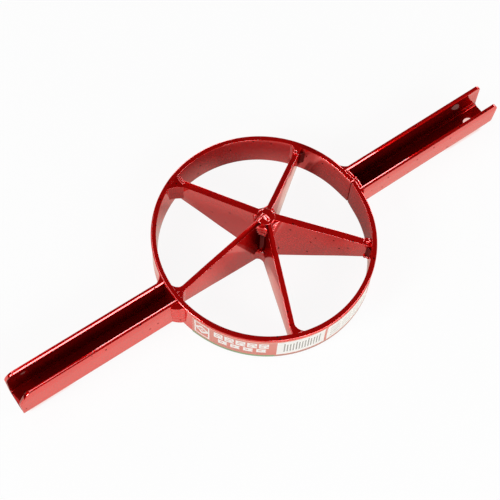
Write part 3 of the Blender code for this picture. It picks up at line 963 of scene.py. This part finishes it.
def make_handle(side):
    """Channel with soft inner edges, cut top corners, a hanging hole and a root that follows the ring."""
    node = side + "_handle"
    azimuth = box_azimuth(node)
    low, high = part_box(node)
    reach = max(-low.x, high.x)
    first, second = (channel_wall(wall) for wall in HANDLE_WALLS[side])
    pairs = first + [tuple((-y, z) for y, z in pair) for pair in reversed(second[:-1])]
    outline = [pair[0] for pair in pairs] + [pair[1] for pair in reversed(pairs)]
    middles = [(Vector(outer) + Vector(inner)) / 2 for outer, inner in pairs]
    centres = middles + middles[::-1]
    turn = upright_turn(azimuth)

    def start_of(across):
        aside = angle_aside(across)
        return ring_radius(azimuth + aside) * cos(radians(aside)) - HANDLE_ROOT_SINK

    def end_of(across, height):
        near = (turn @ Vector((0.0, across, 0.0))).y < 0.0
        corner_along, corner_down = (HANDLE_NEAR_CORNERS if near else HANDLE_FAR_CORNERS)[side]
        up = min(1.0, max(0.0, (height - RING_HEIGHT + corner_down) / corner_down))
        cut = 1.0 - (1.0 - up ** HANDLE_CORNER_POWER) ** (1.0 / HANDLE_CORNER_POWER)
        under = max(0.0, (HANDLE_BOTTOM + HANDLE_SHEET - height) / HANDLE_SHEET)
        return reach - corner_along * cut - HANDLE_UNDERCUT * under

    sections = []
    for share in shares(HANDLE_STEPS):
        section = []
        for across, height in outline:
            begin = start_of(across)
            finish = end_of(across, height) - HANDLE_END_ROUND
            section.append(turn @ Vector((begin + (finish - begin) * share, across, height)))
        sections.append(section)
    for share in shares(HANDLE_END_STEPS)[1:]:
        angle = radians(90.0 * share)
        inset = HANDLE_END_ROUND * (1 - cos(angle))
        section = []
        for (across, height), centre in zip(outline, centres):
            point = Vector((across, height))
            toward = centre - point
            moved = point + toward.normalized() * min(inset, toward.length)
            along = end_of(across, height) - HANDLE_END_ROUND * (1 - sin(angle))
            section.append(turn @ Vector((along, moved.x, moved.y)))
        sections.append(section)

    shape = bmesh.new()
    loops = loft(shape, sections, caps=False)
    count = len(pairs)
    for loop in (loops[0], loops[-1]):
        for index in range(count - 1):
            back = 2 * count - 1 - index
            shape.faces.new((loop[index], loop[index + 1], loop[back - 1], loop[back]))
    channel = mesh_object(node + "_channel", shape)
    drill = make_drill(node + "_drill", Vector((reach - HOLE_FROM_END, HOLE_ASIDE[side], 0.0)), turn)
    cut = channel.modifiers.new("hanging_hole", "BOOLEAN")
    cut.operation = "DIFFERENCE"
    cut.object = drill
    settle(channel)
    bpy.data.objects.remove(drill, do_unlink=True)
    finish_piece(channel, node, make_paint((side,)), angle=CRISP_ANGLE)


def add_ball(shape, centre, radii, turn=0.0):
    """Ellipsoid lump, turned about the vertical."""
    place = Matrix.Translation(centre) @ upright_turn(turn) @ Matrix.Diagonal((*radii, 1.0))
    bmesh.ops.create_icosphere(shape, subdivisions=3, radius=1.0, matrix=place)


def bent_line(start, pull, end, steps):
    """Points of a curve from start to end that leans toward a third point."""
    return [start * (1 - t) ** 2 + pull * (2 * t * (1 - t)) + end * t ** 2 for t in shares(steps)]


def level_loop(points, height):
    """Plan points lifted to one height."""
    return [Vector((point.x, point.y, height)) for point in points]


def add_fillet(shape, corner, ways, low, high, legs, hollow, seed, wobble, taper_by):
    """Upright weld in the corner of two faces that run off along two plan directions.

    Legs are its reaches along the two faces; hollow runs from 1, drawn into the corner, to -1, swollen.
    The weld narrows toward its foot by the share taper_by.
    """
    first, second = ways
    sections = []
    sink = (first + second).normalized() * WELD_SINK
    for share in shares(FILLET_ROWS):
        height = low + (high - low) * share
        below = max(0.0, 1.0 - 2 * share)
        taper = 1.0 - taper_by + taper_by * (1.0 - below ** FILLET_TAPER_POWER) ** 0.5
        drift = noise.noise(Vector((seed, height * FILLET_DRIFT_RATE, 0.0)))
        start = corner + first * legs[0] * taper * (1.0 + wobble * drift)
        end = corner + second * legs[1] * taper * (1.0 - wobble * drift)
        pull = ((start + end) / 2).lerp(corner, hollow)
        face = bent_line(start, pull, end, FILLET_ACROSS)
        sections.append(level_loop([corner - sink, start - sink] + face + [end - sink], height))
    loft(shape, sections)


def add_web(shape, azimuths, rows):
    """Weld in the corner between two blades at the hub, through rows of (height, reach, middle radius)."""
    seat = BLADE_THICKNESS / 2 - WELD_SEAT
    middle = sum(azimuths) / 2
    first, second = (upright_turn(azimuth) for azimuth in azimuths)
    sections = []
    for height, reach, radius in rows:
        start = first @ Vector((reach, seat, 0.0))
        end = second @ Vector((reach, -seat, 0.0))
        pull = 2 * polar(radius, middle) - (start + end) / 2
        hidden = Vector((reach * WEB_HIDDEN_SHARE, 0.0, 0.0))
        loop = [polar(WEB_HEART, middle), first @ hidden]
        loop += bent_line(start, pull, end, WEB_ACROSS)
        sections.append(level_loop(loop + [second @ hidden], height))
    loft(shape, sections)


def fuse(name, shape, node, passes, seed=0.0, ripple=0.0, drift_by=WELD_DRIFT, material=PAINT):
    """Melt the lumps of a weld into one skin, smooth it, and give it ripples and a drawn surface."""
    bead = mesh_object(name, shape)
    melt = bead.modifiers.new("melt", "REMESH")
    melt.mode = "VOXEL"
    melt.voxel_size = WELD_VOXEL
    calm = bead.modifiers.new("calm", "SMOOTH")
    calm.factor = WELD_CALM
    calm.iterations = passes
    settle(bead)
    moved = []
    for vertex in bead.data.vertices:
        place = vertex.co
        drift = noise.noise(place * DRIFT_RATE + Vector((seed, 0.0, 0.0)))
        waves = sin((place.z + RIPPLE_SWAY * drift) / RIPPLE_STEP * 2 * pi)
        moved.extend(place + vertex.normal * (ripple * waves + drift_by * drift))
    bead.data.vertices.foreach_set("co", moved)
    bead.data.update()
    finish_piece(bead, node, material, angle=WHOLLY_SMOOTH)


def add_rim_cap(shape, azimuth, reach, top):
    """Weld that levels the low end of a blade with the ring's upper edge."""
    turn = upright_turn(azimuth)
    half = BLADE_THICKNESS / 2 + WELD_SEAT
    outer = reach + RIM_CAP_OUT
    side = ((outer, top - RIM_CAP_DEPTH), (outer, top), (reach - RIM_CAP_IN, top))
    sections = []
    for across in (-half, 0.0, half):
        sections.append([turn @ Vector((along, across, height)) for along, height in side])
    loft(shape, sections)


def add_rim_lumps(shape, azimuth, reach, ways, lumps):
    """Lumps of weld where a blade meets the ring, given as (inward, across, height, radii)."""
    toward_axis, sideways = ways
    for inward, across, height, radii in lumps:
        centre = toward_axis * (inward - reach) + sideways * across
        add_ball(shape, Vector((centre.x, centre.y, height)), radii, azimuth)


def make_rim_weld(number, word):
    """Weld between the ring and one face of a blade, and any beads that stand on it."""
    node = "blade_%d_rim_weld_%s" % (number, word)
    legs, hollow, cap_drop = RIM_WELDS[number, word]
    side = BLADE_SIDES[word]
    azimuth = blade_azimuth(number)
    radial = polar(1.0, azimuth)
    sideways = polar(1.0, azimuth + 90.0 * side)
    reach = ring_radius(azimuth, RING_WALL)
    corner = radial * (reach - RIM_GAP) + sideways * (BLADE_THICKNESS / 2)
    capped = cap_drop is not None
    high = RIM_CAP_TOP - cap_drop if capped else RIM_HIGH
    shape = bmesh.new()
    ways = (-radial, sideways)
    add_fillet(shape, corner, ways, RIM_LOW, high, legs, hollow, number + side, RIM_WOBBLE, RIM_TAPER)
    if capped:
        add_rim_cap(shape, azimuth, reach, high)
    add_rim_lumps(shape, azimuth, reach, ways, RIM_LUMPS.get((number, word), ()))
    # Some rim welds wear a copy of the lacquer darkened as painted shade
    material = RIM_PAINTS.get((number, word), PAINT)
    fuse(node + "_bead", shape, node, passes=14, seed=number * 3.1 + side, material=material)
    if (number, word) in RIM_BEADS:
        shape = bmesh.new()
        add_rim_lumps(shape, azimuth, reach, ways, RIM_BEADS[number, word])
        fuse(node + "_lumps", shape, node, passes=4, seed=number * 1.3, material=BEAD_PAINT)


def make_crown():
    """Low weld mound that closes the top of the core, with a bent ridge left by the rod."""
    rise = CROWN_TOP - CROWN_EDGE
    profile = [(CROWN_RADIUS - inset, CROWN_EDGE - down) for inset, down in CROWN_SKIRT]
    for step in range(CROWN_STEPS):
        share = step / CROWN_STEPS
        profile.append((CROWN_RADIUS * (1.0 - share), CROWN_TOP - rise * (1.0 - share) ** 2))
    shape = bmesh.new()
    loft(shape, lathe(profile, CROWN_SIDES))
    for first, second in zip(CROWN_RIDGE, CROWN_RIDGE[1:]):
        for step in range(CROWN_STEPS):
            place = Vector(first).lerp(Vector(second), step / (CROWN_STEPS - 1))
            skin = CROWN_TOP - rise * (place.length / CROWN_RADIUS) ** 2
            add_ball(shape, Vector((place.x, place.y, skin - CROWN_RIDGE_SINK)), (CROWN_RIDGE_RADIUS,) * 3)
    fuse("crown_bead", shape, "crown_weld", passes=6, seed=5.0, drift_by=CROWN_DRIFT, material=BEAD_PAINT)


def make_upper_weld(number, azimuths):
    """Weld in a corner between two blades at the top of the core, laid in stepped runs."""
    node = "hub_upper_weld_%d" % number
    low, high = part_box(node)
    foot = low.z - UPPER_BELOW
    at_foot, growth = UPPER_START
    rows = []
    for share in shares(UPPER_ROWS):
        drift = noise.noise(Vector((number * 5.0, share * 5.0, 2.0)))
        run = UPPER_RUN * sin(2 * pi * (share * UPPER_RUNS + UPPER_RUN_DRIFT * drift))
        end = min(1.0, at_foot + growth * share) ** UPPER_START_POWER
        reach, radius = ((start + gain * share + run) * end for start, gain in zip(UPPER_FOOT, UPPER_GAIN))
        rows.append((foot + (high.z + UPPER_ABOVE - foot) * share, reach, radius))
    shape = bmesh.new()
    add_web(shape, azimuths, rows)
    fuse(node + "_bead", shape, node, passes=7, seed=number * 2.0)


def make_lower_weld(number, azimuths):
    """Weld in a corner between two blades at the foot of the core, with a lump where the rod stopped."""
    node = "hub_lower_weld_%d" % number
    low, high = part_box(node)
    at_foot, growth = LOWER_START
    rows = []
    for share in shares(LOWER_ROWS):
        drift = noise.noise(Vector((number * 5.0, share * 3.0, 9.0)))
        past = max(0.0, share - (1.0 - LOWER_TOP_PART)) / LOWER_TOP_PART
        end = min(1.0, at_foot + growth * share) * (1.0 - LOWER_LOSS * past)
        reach, radius = ((size + waver * drift) * end for size, waver in zip(LOWER_SIZE, LOWER_WAVER))
        rows.append((low.z + (high.z - low.z) * share, reach, radius))
    shape = bmesh.new()
    add_web(shape, azimuths, rows)
    middle = sum(azimuths) / 2
    lump = polar(LOWER_LUMP_REACH, middle + LOWER_LUMP_TURN, high.z - LOWER_LUMP_DROP)
    add_ball(shape, lump, LOWER_LUMP, middle)
    fuse(node + "_bead", shape, node, passes=9, seed=number * 2.0)


def make_hub_welds():
    """Welds in the five corners between the blades, each between a blade and the one before it."""
    for number in range(1, BLADE_COUNT + 1):
        azimuth = blade_azimuth(number)
        before = blade_azimuth((number - 2) % BLADE_COUNT + 1)
        azimuths = (azimuth, azimuth + (before - azimuth) % 360.0)
        make_upper_weld(number, azimuths)
        make_lower_weld(number, azimuths)


def make_root_welds():
    """Upright welds between the handles' walls and the ring."""
    for side, word, flank, legs, hollow, hang, ripple in ROOT_WELDS:
        node = "%s_handle_%s_weld" % (side, word)
        azimuth = box_azimuth(side + "_handle")
        along = polar(1.0, azimuth)
        wall = HANDLE_WALLS[side][0 if flank > 0 else 1]
        aside = azimuth + angle_aside(wall_place(wall, RING_HEIGHT / 2) - ROOT_BITE) * flank
        corner = polar(ring_radius(aside) - WELD_SEAT, aside)
        ways = (polar(1.0, aside + 90.0 * flank), along)
        low = HANDLE_BOTTOM - hang
        high = RING_HEIGHT - ROOT_DROP
        seed = flank * 3.0 + along.x
        shape = bmesh.new()
        add_fillet(shape, corner, ways, low, high, legs, hollow, seed, ROOT_WOBBLE, ROOT_TAPER)
        fuse(node + "_bead", shape, node, passes=12, seed=flank * 1.7, ripple=ripple)


def make_top_bead():
    """Bead along the ring's upper edge between the right handle's walls."""
    azimuth = box_azimuth("right_handle")
    inside = HANDLE_WALLS["right"][1][0] - HANDLE_SHEET
    shape = bmesh.new()
    for bead in range(TOP_BEAD_COUNT):
        aside = azimuth + angle_aside(inside * (2 * bead / (TOP_BEAD_COUNT - 1) - 1))
        drift = noise.noise(Vector((bead * 0.9, 4.0, 0.0)))
        centre = polar(ring_radius(aside) + TOP_BEAD_OUT, aside, RING_HEIGHT - TOP_BEAD_DROP)
        radii = [size + waver * drift for size, waver in zip(TOP_BEAD, TOP_BEAD_WAVER)]
        add_ball(shape, centre, radii, aside)
    fuse("right_handle_top_bead", shape, "right_handle_top_weld", passes=10)


def make_label():
    """Thin sticker that follows the outside of the ring."""
    low = LABEL_BASE - LABEL_HEM
    heights = [low + (LABEL_HEIGHT + LABEL_HEM) * share for share in shares(LABEL_ROWS)]
    sections = []
    for share in shares(LABEL_STEPS):
        azimuth = LABEL_START + (LABEL_END - LABEL_START) * share
        section = [(ring_radius(azimuth, ring_bow(height)), height) for height in heights]
        outer = [polar(radius + LABEL_THICKNESS, azimuth, height) for radius, height in section]
        inner = [polar(radius - LABEL_THICKNESS, azimuth, height) for radius, height in reversed(section)]
        sections.append(outer + inner)
    finish_piece(lofted("label_sticker", sections), "label", PRINT)


def mirrored_floor(tree, distance, turn, aside, flank):
    """Painted shade and light in the floor's reflection, by distance and direction from the axis, |x| and
    |y|.
    """
    inside = tree.span(aside, *INSIDE_RING_X)
    for (first, last, soft), spans in FLOOR_SECTORS:
        after = tree.span(turn, (first - soft, first), (0.0, 1.0))
        before = tree.span(turn, (last, last + soft), (1.0, 0.0))
        level = tree.span(distance, *spans[0])
        for span in spans[1:]:
            level = tree.calc("ADD", level, tree.span(distance, *span))
        fall = tree.times(after, before, tree.rest(level))
        inside = tree.times(inside, tree.rest(fall))
    outside = tree.span(distance, *OUTSIDE_RING)
    beside = tree.calc("MAXIMUM", tree.span(flank, *UNDER_HANDLE_Y), tree.span(aside, *PAST_HANDLE_X))
    return tree.calc("ADD", tree.times(outside, beside), tree.times(tree.rest(outside), inside))


def make_floor_white():
    """White with a faint shadow and painted red bounce for the camera; mirrored warm with painted shade and
    light.
    """
    tree = Tree("floor_white")
    tree.nodes.remove(tree.nodes["Principled BSDF"])
    path = tree.add("LightPath").outputs
    camera_ray = path["Is Camera Ray"]
    place = tree.place()
    x, y, _ = tree.split(place)
    aside = tree.calc("ABSOLUTE", x)
    flank = tree.calc("ABSOLUTE", y)
    turn = tree.times(tree.calc("ARCTAN2", y, x), 180.0 / pi)

    # Painted red bounce light on the floor under the handles' ends, which the camera sees through the hanging
    # holes
    bounce_light = tree.times(
        tree.span(flank, *BOUNCE_LIGHT_Y), tree.span(aside, *BOUNCE_LIGHT_START_X), tree.span(aside, *BOUNCE_LIGHT_END_X),
    )
    seen_white = tree.mix(bounce_light, PLAIN_WHITE, RED_BOUNCE_LIGHT)
    glow = tree.add("Emission", Color=tree.mix(camera_ray, WARM_WHITE, seen_white), Strength=1.0)
    matt = tree.add("BsdfDiffuse", Color=tree.mix(camera_ray, FLOOR_GREY, FLOOR_WHITE))
    seen = tree.times(tree.calc("MAXIMUM", camera_ray, path["Is Transmission Ray"]), FLOOR_PLAIN_SHARE)
    # Painted shade and light: how bright the floor is where the lacquer mirrors it
    level = mirrored_floor(tree, tree.length(place), turn, aside, flank)
    mix = tree.add("MixShader", Fac=tree.calc("MAXIMUM", seen, tree.times(path["Is Glossy Ray"], level)))
    tree.put(matt.outputs["BSDF"], mix.inputs[1])
    tree.put(glow.outputs["Emission"], mix.inputs[2])
    tree.fill(tree.nodes["Material Output"], Surface=mix.outputs["Shader"])
    return tree.material


def make_floor():
    """Plain white floor, whose reflections carry painted shade and light."""
    shape = bmesh.new()
    bmesh.ops.create_grid(shape, x_segments=1, y_segments=1, size=FLOOR_SIZE)
    floor = mesh_object("floor", shape)
    floor.location = (0.0, 0.0, -FLOOR_DROP)
    floor.data.materials.append(make_floor_white())


def make_light():
    """Soft studio light from wide boxes that face the object, under a dim ceiling."""
    for name, azimuth, elevation, size, power in STUDIO_BOXES:
        lamp = bpy.data.lights.new(name, "AREA")
        lamp.shape = "RECTANGLE"
        lamp.size, lamp.size_y = size
        lamp.energy = power
        box = bpy.data.objects.new(name, lamp)
        up = radians(elevation)
        box.location = polar(cos(up), azimuth, sin(up)) * BOX_DISTANCE
        box.rotation_euler = box.location.to_track_quat("Z", "Y").to_euler()
        bpy.context.scene.collection.objects.link(box)
    world = bpy.data.worlds.new("studio")
    bpy.context.scene.world = world
    world.use_nodes = True
    backdrop = world.node_tree.nodes["Background"]
    backdrop.inputs["Color"].default_value = PLAIN_WHITE
    backdrop.inputs["Strength"].default_value = WORLD_STRENGTH


def make_camera():
    """Camera at the photograph's viewpoint."""
    lens = bpy.data.cameras.new("camera")
    lens.lens = CAMERA_LENS
    lens.sensor_width = CAMERA_SENSOR
    lens.clip_start = CAMERA_CLIP
    camera = bpy.data.objects.new("camera", lens)
    place = Vector(CAMERA_PLACE)
    look = (Vector(CAMERA_AIM) - place).to_track_quat("-Z", "Y").to_matrix().to_4x4()
    camera.matrix_world = Matrix.Translation(place) @ look @ upright_turn(CAMERA_ROLL)
    bpy.context.scene.collection.objects.link(camera)
    bpy.context.scene.camera = camera


make_camera()
make_light()
make_floor()
make_ring()
for blade_number in range(1, BLADE_COUNT + 1):
    make_blade(blade_number)
make_core()
make_handle("left")
make_handle("right")
for rim_weld in RIM_WELDS:
    make_rim_weld(*rim_weld)
make_crown()
make_hub_welds()
make_root_welds()
make_top_bead()
make_label()

bpy.context.scene.view_settings.view_transform = "Standard"
